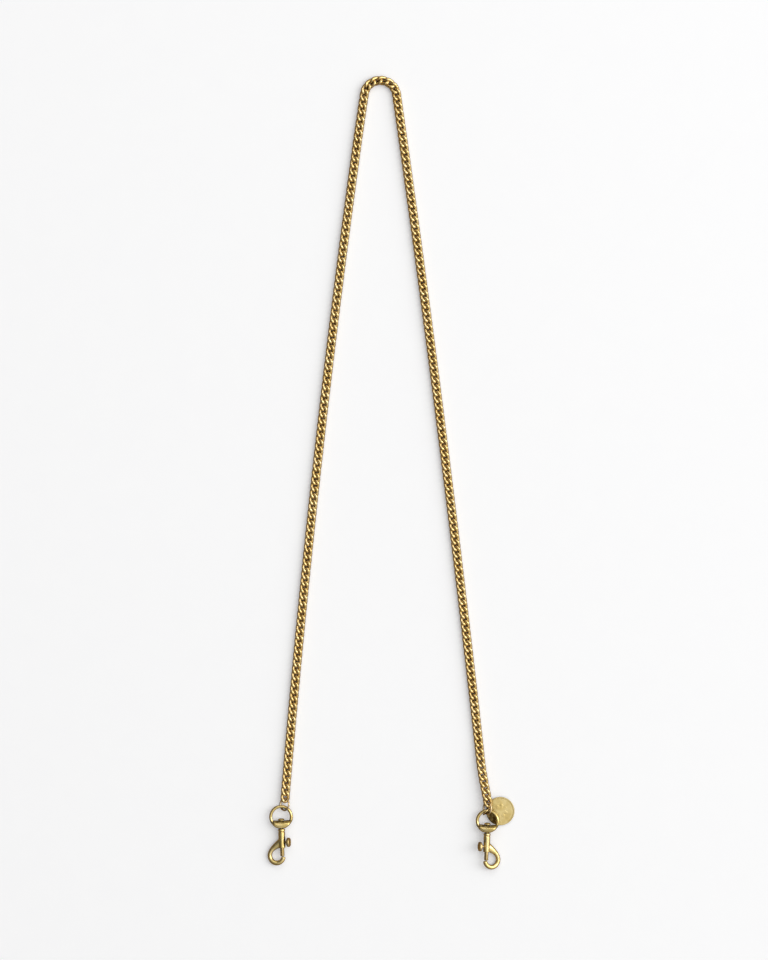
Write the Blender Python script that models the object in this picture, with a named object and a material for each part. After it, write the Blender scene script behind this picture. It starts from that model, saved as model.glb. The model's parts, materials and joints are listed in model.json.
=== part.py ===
"""Curb chain strap: a twisted-link chain folded once, a swivel snap at each end and a round tag.

The strap lies flat, folded into a long narrow loop. +Y points at the fold, +Z points up, and the
origin is the centre of the underside of the bounding box.
"""

import math

import bmesh
import bpy
from mathutils import Matrix, Vector

MM = 0.001

# Chain. A link is an oval of round wire, twisted about its own length.
PITCH = 5.003 * MM
LINK_WIRE = 1.7 * MM
LINK_HALF_WIDTH = 2.45 * MM
LINK_TWIST = math.radians(-48.0)
LINK_BULGE = 3.0
FUSED_HALF_LENGTH = 3.27 * MM
LOOSE_HALF_LENGTH = 3.52 * MM
LINK_POINTS = 8
LINK_SIDES = 4
CHAIN_HEIGHT = 2.0 * MM
END_HEIGHT = 3.05 * MM
END_RAMP = 40.0 * MM

# Fold and legs. Headings are measured from -Y, outwards.
CROWN_TOP = Vector((-8.03 * MM, 289.31 * MM))
CROWN_RADIUS = 12.1 * MM
CROWN_SHIFT = 2.2 * MM
HEADING_TOP = {"left": math.radians(8.1), "right": math.radians(8.1)}
HEADING_BOTTOM = {"left": math.radians(4.7), "right": math.radians(6.2)}
END_TURN = {"left": 0.0, "right": math.radians(6.0)}
END_TURN_LENGTH = 30.0 * MM
CROWN_LINKS = 3
SHOULDER_LINKS = 2
RUN_LINKS = 5
RUNS_PER_LEG = 21
LEG_LINKS = CROWN_LINKS // 2 + SHOULDER_LINKS + RUN_LINKS * RUNS_PER_LEG
PATH_STEP = 0.5 * MM

# Swivel eye: a ring whose lower part thickens into a base for the swivel stud.
EYE_RADIUS = 7.6 * MM
EYE_WIRE = 2.3 * MM
EYE_OUTER = EYE_RADIUS + EYE_WIRE / 2
EYE_FLOOR = 3.1 * MM
EYE_BASE_THICKNESS = 5.2 * MM
EYE_STEPS = 24
EYE_SIDES = 6

# Hook casting: stud, collar and barrel on the swivel axis, and the hook beside them.
STUD_RADIUS = 1.25 * MM
STUD_BORE = 1.6 * MM
STUD_HEAD_RADIUS = 2.5 * MM
STUD_HEAD_HEIGHT = 1.5 * MM
STUD_GAP = 0.3 * MM
STUD_PLAY = 0.5 * MM
COLLAR_RADIUS = 2.6 * MM
COLLAR_LENGTH = 1.5 * MM
NECK_RADIUS = 2.1 * MM
NECK_LENGTH = 0.8 * MM
BARREL_RADIUS = 2.45 * MM
BARREL_END = 22.8 * MM
BORE_RADIUS = 1.8 * MM
BORE_TOP = 11.9 * MM
BORE_STEPS = 14
JAW_CENTRE = Vector((-4.0 * MM, -28.5 * MM))
JAW_HALF_WIDTH = 5.5 * MM
JAW_HALF_LENGTH = 5.9 * MM
HOOK_RADIUS = 1.55 * MM
SHOULDER_ROOT = Vector((0.2 * MM, -18.6 * MM))
SHOULDER_HALF_WIDTH = 3.6 * MM
SHOULDER_HALF_THICKNESS = 1.9 * MM
SHOULDER_LEAD = 4.2 * MM
SHOULDER_STEPS = 5
TANGENT_STEP = math.radians(0.5)
HOOK_START = math.radians(153.0)
HOOK_TIP = math.radians(349.5)
HOOK_STEPS = 12
HOOK_SIDES = 8

# Plunger, its spring and the thumb knob that draws it back.
PLUNGER_RADIUS = 1.5 * MM
PLUNGER_TOP = 17.6 * MM
PLUNGER_TIP = 29.0 * MM
PLUNGER_TRAVEL = 3.6 * MM
PLUNGER_CHAMFER = 0.3 * MM
KNOB_POSITION = 18.8 * MM
KNOB_ANGLE = math.radians(5.0)
KNOB_DISTANCE = 5.1 * MM
KNOB_RADIUS = 3.45 * MM
KNOB_THICKNESS = 2.0 * MM
KNOB_BEVEL = 0.35 * MM
KNOB_DOME = 0.15 * MM
SHANK_RADIUS = 0.85 * MM
PIN_RADIUS = 0.5 * MM
PIN_HOLE = 0.8 * MM
PIN_DEPTH = 0.5 * MM
SLOT_WIDTH = 2.3 * MM
SLIDE_GAP = 0.3 * MM
SPRING_RADIUS = 1.2 * MM
SPRING_WIRE = 0.3 * MM
SPRING_TURNS = 4
SPRING_STEPS = 7
SPRING_SEAT_GAP = 0.3 * MM

# Rings and tag.
CONNECTOR_RADIUS = 4.35 * MM
CONNECTOR_WIRE = 1.4 * MM
TAG_RING_RADIUS = 3.4 * MM
TAG_RING_WIRE = 0.9 * MM
TAG_RADIUS = 10.5 * MM
TAG_THICKNESS = 0.9 * MM
TAG_BEVEL = 0.25 * MM
TAG_HOLE_RADIUS = 1.3 * MM
TAG_HOLE_OFFSET = 8.2 * MM
RING_STEPS = 20
RING_SIDES = 6

# Snap placement: the eye's centre seen from the chain's end, and the turns of eye and hook body.
EYE_OFFSET = {"left": Vector((-2.7, -10.8, 0.3)) * MM, "right": Vector((-1.0, -10.5, 0.0)) * MM}
END_RISE = {"left": 0.0, "right": 1.8 * MM}
SNAP_TURN = {"left": math.radians(2.0), "right": math.radians(-2.0)}
EYE_ROLL = {"left": 0.0, "right": math.radians(-8.0)}
HOOK_ROLL = {"left": math.radians(-10.0), "right": math.radians(-160.0)}

# Rings and tag, placed from the eye's centre.
CONNECTOR_OFFSET = {"left": Vector((2.63, 9.26, 0.36)) * MM, "right": Vector((-0.09, 9.54, -0.11)) * MM}
CONNECTOR_NORMAL = {"left": Vector((-0.687, 0.089, 0.721)), "right": Vector((-0.804, 0.039, 0.593))}
TAG_OFFSET = Vector((9.57, 6.94, 0.0)) * MM
TAG_TILT = math.radians(4.5)
TAG_HOLE_HEADING = math.radians(168.6)
TAG_RING_OFFSET = Vector((-0.6, 7.0, -1.02)) * MM
TAG_RING_NORMAL = Vector((-0.694, 0.697, -0.178))
FLOOR_GAP = 0.05 * MM

BRASS = (0.55, 0.39, 0.16)
PALE_BRASS = (0.66, 0.53, 0.30)
STEEL = (0.55, 0.54, 0.52)
Y_AXIS = Vector((0.0, 1.0, 0.0))
Z_AXIS = Vector((0.0, 0.0, 1.0))


def clear_scene():
    for thing in list(bpy.data.objects):
        bpy.data.objects.remove(thing)


def metal(name, colour, roughness):
    material = bpy.data.materials.new(name)
    material.use_nodes = True
    shader = material.node_tree.nodes["Principled BSDF"]
    shader.inputs["Base Color"].default_value = (*colour, 1.0)
    shader.inputs["Metallic"].default_value = 1.0
    shader.inputs["Roughness"].default_value = roughness
    return material


def add_object(name, mesh, frame, material=None):
    """An object whose own axes are those of the 4x4 matrix frame."""
    mesh.shade_smooth()
    mesh.set_sharp_from_angle(angle=math.radians(35.0))
    if material:
        mesh.materials.append(material)
    thing = bpy.data.objects.new(name, mesh)
    bpy.context.scene.collection.objects.link(thing)
    thing.matrix_world = frame
    return thing


def as_helper(thing):
    thing.hide_render = True
    thing.display_type = "WIRE"
    return thing


def attach(child, parent):
    """Makes child follow parent, and leaves it where it is."""
    place = child.matrix_world.copy()
    child.parent = parent
    child.matrix_parent_inverse = parent.matrix_world.inverted()
    child.matrix_world = place
    bpy.context.view_layer.update()


def combine(thing, other, operation):
    modifier = thing.modifiers.new(operation.lower(), "BOOLEAN")
    modifier.operation = operation
    modifier.solver = "EXACT"
    modifier.object = as_helper(other)
    attach(other, thing)


def mesh_from(name, shape):
    bmesh.ops.recalc_face_normals(shape, faces=shape.faces)
    mesh = bpy.data.meshes.new(name)
    shape.to_mesh(mesh)
    shape.free()
    return mesh


def frame_of(origin, x_axis, y_axis, z_axis):
    frame = Matrix((x_axis, y_axis, z_axis)).transposed().to_4x4()
    frame.translation = origin
    return frame


def smooth_step(value):
    value = min(max(value, 0.0), 1.0)
    return value * value * (3.0 - 2.0 * value)


def add_rings(shape, rings, closed):
    """Faces between neighbouring rings of vertices, and two end caps unless the tube is closed."""
    pairs = list(zip(rings, rings[1:]))
    if closed:
        pairs.append((rings[-1], rings[0]))
    for first, second in pairs:
        for k in range(len(first)):
            after = (k + 1) % len(first)
            shape.faces.new((first[k], first[after], second[after], second[k]))
    if not closed:
        shape.faces.new(rings[0])
        shape.faces.new(list(reversed(rings[-1])))


def sweep(shape, spine, ups, sizes, sides, closed, turn=0.0):
    """Sweeps a polygon along spine. sizes holds (half width, half thickness) for each point."""
    rings = []
    count = len(spine)
    for k, point in enumerate(spine):
        before = spine[k - 1] if closed or k else spine[0]
        after = spine[(k + 1) % count] if closed or k < count - 1 else spine[-1]
        along = (after - before).normalized()
        side = along.cross(ups[k]).normalized()
        up = side.cross(along)
        width, thickness = sizes[k]
        ring = []
        for j in range(sides):
            angle = 2.0 * math.pi * j / sides + turn
            offset = side * (width * math.cos(angle)) + up * (thickness * math.sin(angle))
            ring.append(shape.verts.new(point + offset))
        rings.append(ring)
    add_rings(shape, rings, closed)


def revolve(name, profile, steps):
    """Turns a list of (radius, height) about +Y. Points with no radius close the ends."""
    shape = bmesh.new()
    rings = []
    for radius, height in profile:
        if radius == 0.0:
            rings.append([shape.verts.new((0.0, height, 0.0))])
            continue
        angles = [2.0 * math.pi * k / steps for k in range(steps)]
        rings.append(
            [shape.verts.new((radius * math.cos(a), height, radius * math.sin(a))) for a in angles]
        )
    for first, second in zip(rings, rings[1:]):
        for k in range(steps):
            after = (k + 1) % steps
            corners = [first[k % len(first)], first[after % len(first)]]
            corners += [second[after % len(second)], second[k % len(second)]]
            shape.faces.new(list(dict.fromkeys(corners)))
    return mesh_from(name, shape)


def cylinder(name, radius, low, high, steps):
    """A cylinder about +Y, from y = low to y = high."""
    return revolve(name, [(0.0, low), (radius, low), (radius, high), (0.0, high)], steps)


def box(name, low, high):
    shape = bmesh.new()
    bmesh.ops.create_cube(shape, size=1.0)
    size = Vector(high) - Vector(low)
    centre = (Vector(high) + Vector(low)) / 2.0
    for vertex in shape.verts:
        vertex.co = Vector([vertex.co[i] * size[i] + centre[i] for i in range(3)])
    return mesh_from(name, shape)


# The chain's path. Distances run outwards from the top of the fold, down either leg.


def leg_length():
    return LEG_LINKS * PITCH


def outward(side):
    return -1.0 if side == "left" else 1.0


def drop_angle(side, distance):
    """How far the path has turned down from level, at a distance from the top."""
    arc = CROWN_RADIUS * (math.pi / 2.0 - HEADING_TOP[side])
    if distance < arc:
        return distance / CROWN_RADIUS
    share = (distance - arc) / (leg_length() - arc)
    heading = HEADING_TOP[side] + (HEADING_BOTTOM[side] - HEADING_TOP[side]) * share
    final = (distance - leg_length() + END_TURN_LENGTH) / END_TURN_LENGTH
    return math.pi / 2.0 - heading - END_TURN[side] * smooth_step(final)


def path_height(side, distance):
    final = (distance - leg_length() + END_RAMP) / END_RAMP
    rise = END_HEIGHT + END_RISE[side] - CHAIN_HEIGHT
    return CHAIN_HEIGHT + rise * smooth_step(final)


def path_point(side, distance):
    steps = max(1, math.ceil(distance / PATH_STEP))
    step = distance / steps
    x, y = CROWN_TOP
    for k in range(steps):
        angle = drop_angle(side, (k + 0.5) * step)
        x += outward(side) * step * math.cos(angle)
        y -= step * math.sin(angle)
    return Vector((x, y, path_height(side, distance)))


def path_frame(side, number):
    """The frame at a link number, which may be fractional: X away from the fold, Z up."""
    distance = max(0.0, number * PITCH + outward(side) * CROWN_SHIFT)
    ahead = path_point(side, distance + PATH_STEP)
    behind = path_point(side, max(0.0, distance - PATH_STEP))
    along = (ahead - behind).normalized()
    across = Z_AXIS.cross(along).normalized()
    return frame_of(path_point(side, distance), along, across, along.cross(across))


def oval(value, half, bulge):
    return math.copysign(half * abs(value) ** (2.0 / bulge), value)


def add_link(shape, frame, half_inner, half_outer):
    """One twisted link. Its two ends may reach different lengths, to touch or clear the next link."""
    spine = []
    ups = []
    for k in range(LINK_POINTS):
        angle = 2.0 * math.pi * k / LINK_POINTS
        reach = half_outer if math.cos(angle) > 0.0 else half_inner
        along = oval(round(math.cos(angle), 9), reach, LINK_BULGE)
        across = oval(round(math.sin(angle), 9), LINK_HALF_WIDTH, LINK_BULGE)
        twist = LINK_TWIST * along / FUSED_HALF_LENGTH
        point = Vector((along, across * math.cos(twist), across * math.sin(twist)))
        spine.append(frame @ point)
        ups.append(frame.to_3x3() @ Vector((0.0, -math.sin(twist), math.cos(twist))))
    sizes = [(LINK_WIRE / 2.0, LINK_WIRE / 2.0)] * LINK_POINTS
    sweep(shape, spine, ups, sizes, LINK_SIDES, True)


def make_run(name, links, frame, material):
    """A run of links joined where they touch. links holds (frame, half_inner, half_outer)."""
    to_local = frame.inverted()
    meshes = []
    for offset in (0, 1):
        shape = bmesh.new()
        for link_frame, half_inner, half_outer in links[offset::2]:
            add_link(shape, to_local @ link_frame, half_inner, half_outer)
        meshes.append(mesh_from(name, shape))
    run = add_object(name, meshes[0], frame, material)
    combine(run, add_object(name + "_joining", meshes[1], frame), "UNION")
    return run


def leg_run(side, name, first, count, material):
    """The run of count links that starts at link number first of a leg, counted from the fold."""
    links = []
    for number in range(first, first + count):
        ends_loose = number == first + count - 1 and number != LEG_LINKS
        half_inner = LOOSE_HALF_LENGTH if number == first else FUSED_HALF_LENGTH
        half_outer = LOOSE_HALF_LENGTH if ends_loose else FUSED_HALF_LENGTH
        links.append((path_frame(side, number), half_inner, half_outer))
    return make_run(name, links, path_frame(side, first - 0.5), material)


def make_crown(material):
    links = [
        (path_frame("left", 1), FUSED_HALF_LENGTH, LOOSE_HALF_LENGTH),
        (path_frame("right", 0), FUSED_HALF_LENGTH, FUSED_HALF_LENGTH),
        (path_frame("right", 1), FUSED_HALF_LENGTH, LOOSE_HALF_LENGTH),
    ]
    return make_run("crown_run", links, path_frame("right", 0), material)


def make_leg(side, crown, material):
    """The runs of one leg, each hinged on the one before. Returns the last."""
    first = CROWN_LINKS // 2 + 1
    parent = leg_run(side, side + "_shoulder_run", first, SHOULDER_LINKS, material)
    attach(parent, crown)
    first += SHOULDER_LINKS
    for number in range(1, RUNS_PER_LEG + 1):
        run = leg_run(side, f"{side}_run_{number:02d}", first, RUN_LINKS, material)
        attach(run, parent)
        parent = run
        first += RUN_LINKS
    return parent


# The swivel snap. Its parts are shaped with the swivel along Y, the eye's centre at the origin and
# the hook towards -Y.


def eye_mesh():
    """A ring of round wire whose lower part is filled up to a flat floor and thickened."""
    inner_radius = EYE_RADIUS - EYE_WIRE / 2.0
    spine = []
    sizes = []
    for k in range(EYE_STEPS):
        angle = 2.0 * math.pi * (k + 0.5) / EYE_STEPS
        direction = Vector((math.cos(angle), math.sin(angle), 0.0))
        inner = inner_radius
        if direction.y < 0.0:
            inner = min(inner, EYE_FLOOR / -direction.y)
        depth = (EYE_OUTER - inner) / 2.0
        share = smooth_step((depth - EYE_WIRE / 2.0) / (EYE_WIRE / 2.0))
        thickness = EYE_WIRE / 2.0 + share * (EYE_BASE_THICKNESS - EYE_WIRE) / 2.0
        spine.append(direction * (EYE_OUTER - depth))
        sizes.append((depth, thickness))
    shape = bmesh.new()
    sweep(shape, spine, [Z_AXIS] * EYE_STEPS, sizes, EYE_SIDES, True)
    return mesh_from("swivel_eye", shape)


def make_eye(side, frame, material):
    eye = add_object(side + "_swivel_eye", eye_mesh(), frame, material)
    bore = cylinder("stud_bore", STUD_BORE, -EYE_OUTER - MM, -EYE_FLOOR + MM, 12)
    combine(eye, add_object(side + "_stud_bore", bore, frame), "DIFFERENCE")
    return eye


def stud_and_barrel_mesh():
    """Peened head, stud, collar and barrel, turned about the swivel axis."""
    head_low = -EYE_FLOOR + STUD_PLAY
    collar_top = -EYE_OUTER - STUD_GAP
    collar_low = collar_top - COLLAR_LENGTH
    neck_low = collar_low - NECK_LENGTH
    profile = [
        (0.0, head_low + STUD_HEAD_HEIGHT),
        (STUD_HEAD_RADIUS * 0.7, head_low + STUD_HEAD_HEIGHT * 0.75),
        (STUD_HEAD_RADIUS, head_low),
        (STUD_RADIUS, head_low),
        (STUD_RADIUS, collar_top),
        (COLLAR_RADIUS, collar_top),
        (COLLAR_RADIUS, collar_low),
        (NECK_RADIUS, collar_low - NECK_LENGTH * 0.25),
        (NECK_RADIUS, collar_low - NECK_LENGTH * 0.6),
        (BARREL_RADIUS, neck_low),
        (BARREL_RADIUS, -BARREL_END),
        (0.0, -BARREL_END),
    ]
    return revolve("stud_and_barrel", profile, 12)


def shoulder_spine():
    """(point, half width, half thickness) down the web that leaves the barrel and narrows to the hook."""
    join = jaw_point(HOOK_START)
    corner = join + (join - jaw_point(HOOK_START + TANGENT_STEP)).normalized() * SHOULDER_LEAD
    stations = []
    for k in range(SHOULDER_STEPS):
        t = k / SHOULDER_STEPS
        point = SHOULDER_ROOT * (1.0 - t) ** 2 + corner * (2.0 * t * (1.0 - t)) + join * t * t
        width = HOOK_RADIUS + (SHOULDER_HALF_WIDTH - HOOK_RADIUS) * (1.0 - t) ** 2
        thickness = HOOK_RADIUS + (SHOULDER_HALF_THICKNESS - HOOK_RADIUS) * (1.0 - t)
        stations.append((point, width, thickness))
    return stations


def hook_mesh():
    """The hook: a web that leaves the barrel, then an arc of an oval round the jaw."""
    stations = shoulder_spine()
    for k in range(HOOK_STEPS):
        angle = HOOK_START + (HOOK_TIP - HOOK_START) * k / (HOOK_STEPS - 1)
        stations.append((jaw_point(angle), HOOK_RADIUS, HOOK_RADIUS))
    spine = [point.to_3d() for point, _, _ in stations]
    sizes = [(width, thickness) for _, width, thickness in stations]
    shape = bmesh.new()
    flat_inwards = math.pi / HOOK_SIDES
    sweep(shape, spine, [Z_AXIS] * len(spine), sizes, HOOK_SIDES, False, flat_inwards)
    return mesh_from("hook", shape)


def jaw_point(angle):
    """A point on the hook's centreline, by its angle about the jaw's centre."""
    offset = Vector((JAW_HALF_WIDTH * math.cos(angle), JAW_HALF_LENGTH * math.sin(angle)))
    return JAW_CENTRE + offset


def make_hook_body(side, frame, material):
    body = add_object(side + "_hook_body", stud_and_barrel_mesh(), frame, material)
    combine(body, add_object(side + "_hook", hook_mesh(), frame), "UNION")
    bore = cylinder("plunger_bore", BORE_RADIUS, -BARREL_END - MM, -BORE_TOP, BORE_STEPS)
    combine(body, add_object(side + "_plunger_bore", bore, frame), "DIFFERENCE")
    clearance = SHANK_RADIUS + SLIDE_GAP
    low = (0.0, -KNOB_POSITION - clearance, -SLOT_WIDTH / 2.0)
    high = (2.0 * BARREL_RADIUS, -KNOB_POSITION + PLUNGER_TRAVEL + clearance, SLOT_WIDTH / 2.0)
    slot = add_object(side + "_slot", box("slot", low, high), frame @ knob_turn())
    combine(body, slot, "DIFFERENCE")
    return body


def knob_turn():
    """Turns +X towards the thumb knob's side."""
    return Matrix.Rotation(-KNOB_ANGLE, 4, "Y")


def make_plunger(side, frame, material):
    profile = [
        (0.0, -PLUNGER_TIP),
        (PLUNGER_RADIUS - PLUNGER_CHAMFER, -PLUNGER_TIP),
        (PLUNGER_RADIUS, -PLUNGER_TIP + PLUNGER_CHAMFER),
        (PLUNGER_RADIUS, -PLUNGER_TOP),
        (0.0, -PLUNGER_TOP),
    ]
    plunger = add_object(side + "_plunger", revolve("plunger", profile, 12), frame, material)
    hole = cylinder("pin_hole", PIN_HOLE, PIN_DEPTH - SLIDE_GAP, 2.0 * PLUNGER_RADIUS, 8)
    combine(plunger, add_object(side + "_pin_hole", hole, knob_frame(frame)), "DIFFERENCE")
    return plunger


def knob_frame(frame):
    """The thumb knob's frame: Y runs out along its shank."""
    across = Matrix.Rotation(-math.pi / 2.0, 4, "Z")
    return frame @ knob_turn() @ Matrix.Translation((0.0, -KNOB_POSITION, 0.0)) @ across


def make_knob(side, frame, material):
    under = KNOB_DISTANCE - KNOB_THICKNESS / 2.0
    over = KNOB_DISTANCE + KNOB_THICKNESS / 2.0
    shank_low = PLUNGER_RADIUS + SLIDE_GAP
    profile = [
        (0.0, PIN_DEPTH),
        (PIN_RADIUS, PIN_DEPTH),
        (PIN_RADIUS, shank_low),
        (SHANK_RADIUS, shank_low),
        (SHANK_RADIUS, under),
        (KNOB_RADIUS - KNOB_BEVEL, under),
        (KNOB_RADIUS, under + KNOB_BEVEL),
        (KNOB_RADIUS, over - KNOB_BEVEL),
        (KNOB_RADIUS - KNOB_BEVEL, over),
        (0.0, over + KNOB_DOME),
    ]
    mesh = revolve("thumb_knob", profile, 14)
    return add_object(side + "_thumb_knob", mesh, knob_frame(frame), material)


def spring_mesh():
    """A coil between the closed end of the barrel's bore and the plunger."""
    low = -PLUNGER_TOP + SPRING_SEAT_GAP + SPRING_WIRE / 2.0
    high = -BORE_TOP - SPRING_SEAT_GAP - SPRING_WIRE / 2.0
    stations = SPRING_TURNS * SPRING_STEPS
    spine = []
    for k in range(stations + 1):
        share = k / stations
        angle = 2.0 * math.pi * SPRING_TURNS * share
        height = low + share * (high - low)
        spine.append(Vector((SPRING_RADIUS * math.cos(angle), height, SPRING_RADIUS * math.sin(angle))))
    sizes = [(SPRING_WIRE / 2.0, SPRING_WIRE / 2.0)] * len(spine)
    shape = bmesh.new()
    sweep(shape, spine, [Y_AXIS] * len(spine), sizes, 3, False)
    return mesh_from("plunger_spring", shape)


def make_snap(side, chain_end, finish, steel):
    """A snap beside a chain end. Returns its eye, which carries the rest."""
    offset = EYE_OFFSET[side]
    placed = Matrix.Translation(chain_end + offset) @ Matrix.Rotation(SNAP_TURN[side], 4, "Z")
    eye = make_eye(side, placed @ Matrix.Rotation(EYE_ROLL[side], 4, "Y"), finish)
    swivel = placed @ Matrix.Rotation(HOOK_ROLL[side], 4, "Y")
    body = make_hook_body(side, swivel, finish)
    plunger = make_plunger(side, swivel, finish)
    knob = make_knob(side, swivel, finish)
    spring = add_object(side + "_plunger_spring", spring_mesh(), swivel, steel)
    attach(body, eye)
    attach(plunger, body)
    attach(knob, plunger)
    attach(spring, body)
    return eye


# The rings that join chain, eyes and tag, and the tag itself.


def ring_mesh(name, radius, wire):
    """A round wire ring in the XY plane."""
    spine = []
    for k in range(RING_STEPS):
        angle = 2.0 * math.pi * k / RING_STEPS
        spine.append(Vector((radius * math.cos(angle), radius * math.sin(angle), 0.0)))
    sizes = [(wire / 2.0, wire / 2.0)] * RING_STEPS
    shape = bmesh.new()
    sweep(shape, spine, [Z_AXIS] * RING_STEPS, sizes, RING_SIDES, True)
    return mesh_from(name, shape)


def ring_frame(origin, normal):
    """A frame whose Z is the ring's axis and whose X is level."""
    up = normal.normalized()
    level = up.cross(Z_AXIS).normalized()
    return frame_of(origin, level, up.cross(level), up)


def make_connector(side, eye_centre, material):
    frame = ring_frame(eye_centre + CONNECTOR_OFFSET[side], CONNECTOR_NORMAL[side])
    mesh = ring_mesh("connector_ring", CONNECTOR_RADIUS, CONNECTOR_WIRE)
    return add_object(side + "_connector_ring", mesh, frame, material)


def make_tag(eye_centre, material):
    """The tag, its hole's edge raised by the ring that passes under it."""
    rise = TAG_RADIUS * math.sin(TAG_TILT) + TAG_THICKNESS / 2.0 * math.cos(TAG_TILT)
    centre = Vector((eye_centre.x, eye_centre.y, rise + FLOOR_GAP)) + TAG_OFFSET
    turn = Matrix.Rotation(TAG_HOLE_HEADING, 4, "Z") @ Matrix.Rotation(-TAG_TILT, 4, "Y")
    frame = Matrix.Translation(centre) @ turn
    half = TAG_THICKNESS / 2.0
    profile = [
        (0.0, -half),
        (TAG_RADIUS - TAG_BEVEL, -half),
        (TAG_RADIUS, -half + TAG_BEVEL),
        (TAG_RADIUS, half - TAG_BEVEL),
        (TAG_RADIUS - TAG_BEVEL, half),
        (0.0, half),
    ]
    upright = Matrix.Rotation(math.pi / 2.0, 4, "X")
    tag = add_object("tag_disc", revolve("tag_disc", profile, 28), frame @ upright, material)
    hole = cylinder("tag_hole", TAG_HOLE_RADIUS, -TAG_THICKNESS, TAG_THICKNESS, 12)
    hole_frame = frame @ Matrix.Translation((TAG_HOLE_OFFSET, 0.0, 0.0)) @ upright
    combine(tag, add_object("tag_hole", hole, hole_frame), "DIFFERENCE")
    return tag


def make_tag_ring(eye_centre, material):
    frame = ring_frame(eye_centre + TAG_RING_OFFSET, TAG_RING_NORMAL)
    mesh = ring_mesh("tag_ring", TAG_RING_RADIUS, TAG_RING_WIRE)
    return add_object("tag_ring", mesh, frame, material)


def make_strap():
    brass = metal("antique_brass", BRASS, 0.35)
    cast_brass = metal("cast_brass", BRASS, 0.28)
    pale_brass = metal("pale_brass", PALE_BRASS, 0.5)
    steel = metal("spring_steel", STEEL, 0.35)
    crown = make_crown(brass)
    for side in ("left", "right"):
        last_run = make_leg(side, crown, brass)
        tip = FUSED_HALF_LENGTH + LINK_WIRE / 2.0
        chain_end = path_frame(side, LEG_LINKS) @ Vector((tip, 0.0, 0.0))
        eye = make_snap(side, chain_end, cast_brass, steel)
        eye_centre = eye.matrix_world.translation.copy()
        connector = make_connector(side, eye_centre, brass)
        attach(connector, last_run)
        attach(eye, connector)
        if side == "right":
            tag_ring = make_tag_ring(eye_centre, brass)
            tag = make_tag(eye_centre, pale_brass)
            attach(tag_ring, connector)
            attach(tag, tag_ring)


clear_scene()
make_strap()
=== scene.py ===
"""Looks for a curb chain strap with a swivel snap at each end and a round tag.

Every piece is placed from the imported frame: its joints, its mounts and its nodes.
"""

import json
import math
import random

import bpy
import numpy as np
from mathutils import Matrix, Vector

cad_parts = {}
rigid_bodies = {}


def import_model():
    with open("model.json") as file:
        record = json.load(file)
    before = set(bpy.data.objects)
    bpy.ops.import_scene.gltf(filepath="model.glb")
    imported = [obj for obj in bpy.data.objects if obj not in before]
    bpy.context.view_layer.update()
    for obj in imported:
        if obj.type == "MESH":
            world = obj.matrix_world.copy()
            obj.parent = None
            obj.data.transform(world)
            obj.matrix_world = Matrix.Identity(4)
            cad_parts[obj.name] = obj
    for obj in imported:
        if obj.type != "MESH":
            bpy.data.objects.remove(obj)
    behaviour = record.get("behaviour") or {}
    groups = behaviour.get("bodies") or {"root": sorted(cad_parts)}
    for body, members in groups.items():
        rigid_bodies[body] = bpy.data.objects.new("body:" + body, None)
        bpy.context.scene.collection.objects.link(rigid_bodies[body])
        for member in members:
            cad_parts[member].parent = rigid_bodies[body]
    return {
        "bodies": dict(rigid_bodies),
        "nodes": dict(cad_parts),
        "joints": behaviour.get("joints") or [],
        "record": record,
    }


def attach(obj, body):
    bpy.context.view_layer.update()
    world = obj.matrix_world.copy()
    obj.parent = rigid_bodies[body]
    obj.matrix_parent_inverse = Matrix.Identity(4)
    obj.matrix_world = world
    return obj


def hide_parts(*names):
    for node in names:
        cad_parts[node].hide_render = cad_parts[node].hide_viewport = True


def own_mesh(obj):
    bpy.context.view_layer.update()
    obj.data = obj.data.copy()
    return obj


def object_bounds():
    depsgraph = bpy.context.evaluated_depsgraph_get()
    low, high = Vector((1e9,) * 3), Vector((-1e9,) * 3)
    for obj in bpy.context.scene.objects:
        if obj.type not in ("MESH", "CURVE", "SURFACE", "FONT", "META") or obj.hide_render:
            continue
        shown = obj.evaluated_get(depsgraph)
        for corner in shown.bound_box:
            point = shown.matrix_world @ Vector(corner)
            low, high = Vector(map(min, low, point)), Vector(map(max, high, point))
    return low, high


MM = 0.001
SIDES = ("left", "right")

# Chain: how many links each run holds, and one link's size.
CROWN_LINKS = 3
SHOULDER_LINKS = 2
RUN_LINKS = 5
LINK_LENGTH = 9.8 * MM
LINK_WIDTH = 6.8 * MM
LINK_WIRE = 2.4 * MM
LINK_TWIST = math.radians(-48.0)
LINK_STATIONS = 44
LINK_SIDES = 14
SEAM_STATION = 2
SEAM_DEPTH = 0.12
LINK_ROLL_PLAY = 3.0
LINK_TURN_PLAY = 1.5
LAST_LINK_REACH = 3.27 * MM

# Swivel eye, in its own frame: centre at the origin, swivel along -Y, ring in the XY plane.
EYE_RADIUS = 7.6 * MM
EYE_WIRE = 2.3 * MM
EYE_OUTER = EYE_RADIUS + EYE_WIRE / 2.0
EYE_FLOOR = 3.1 * MM
EYE_BASE_THICKNESS = 5.2 * MM
EYE_STATIONS = 120
EYE_SIDES = 56
LEDGE_EDGE = 5.3 * MM
LEDGE_THICKNESS = 3.9 * MM
LEDGE_FADE = 0.9 * MM
GROOVE_DEPTH = 0.22 * MM
GROOVE_INSET = 1.3 * MM
GROOVE_HALF_WIDTH = 0.35 * MM
GROOVE_FADE = 0.4 * MM
STUD_BORE = 1.6 * MM

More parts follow.
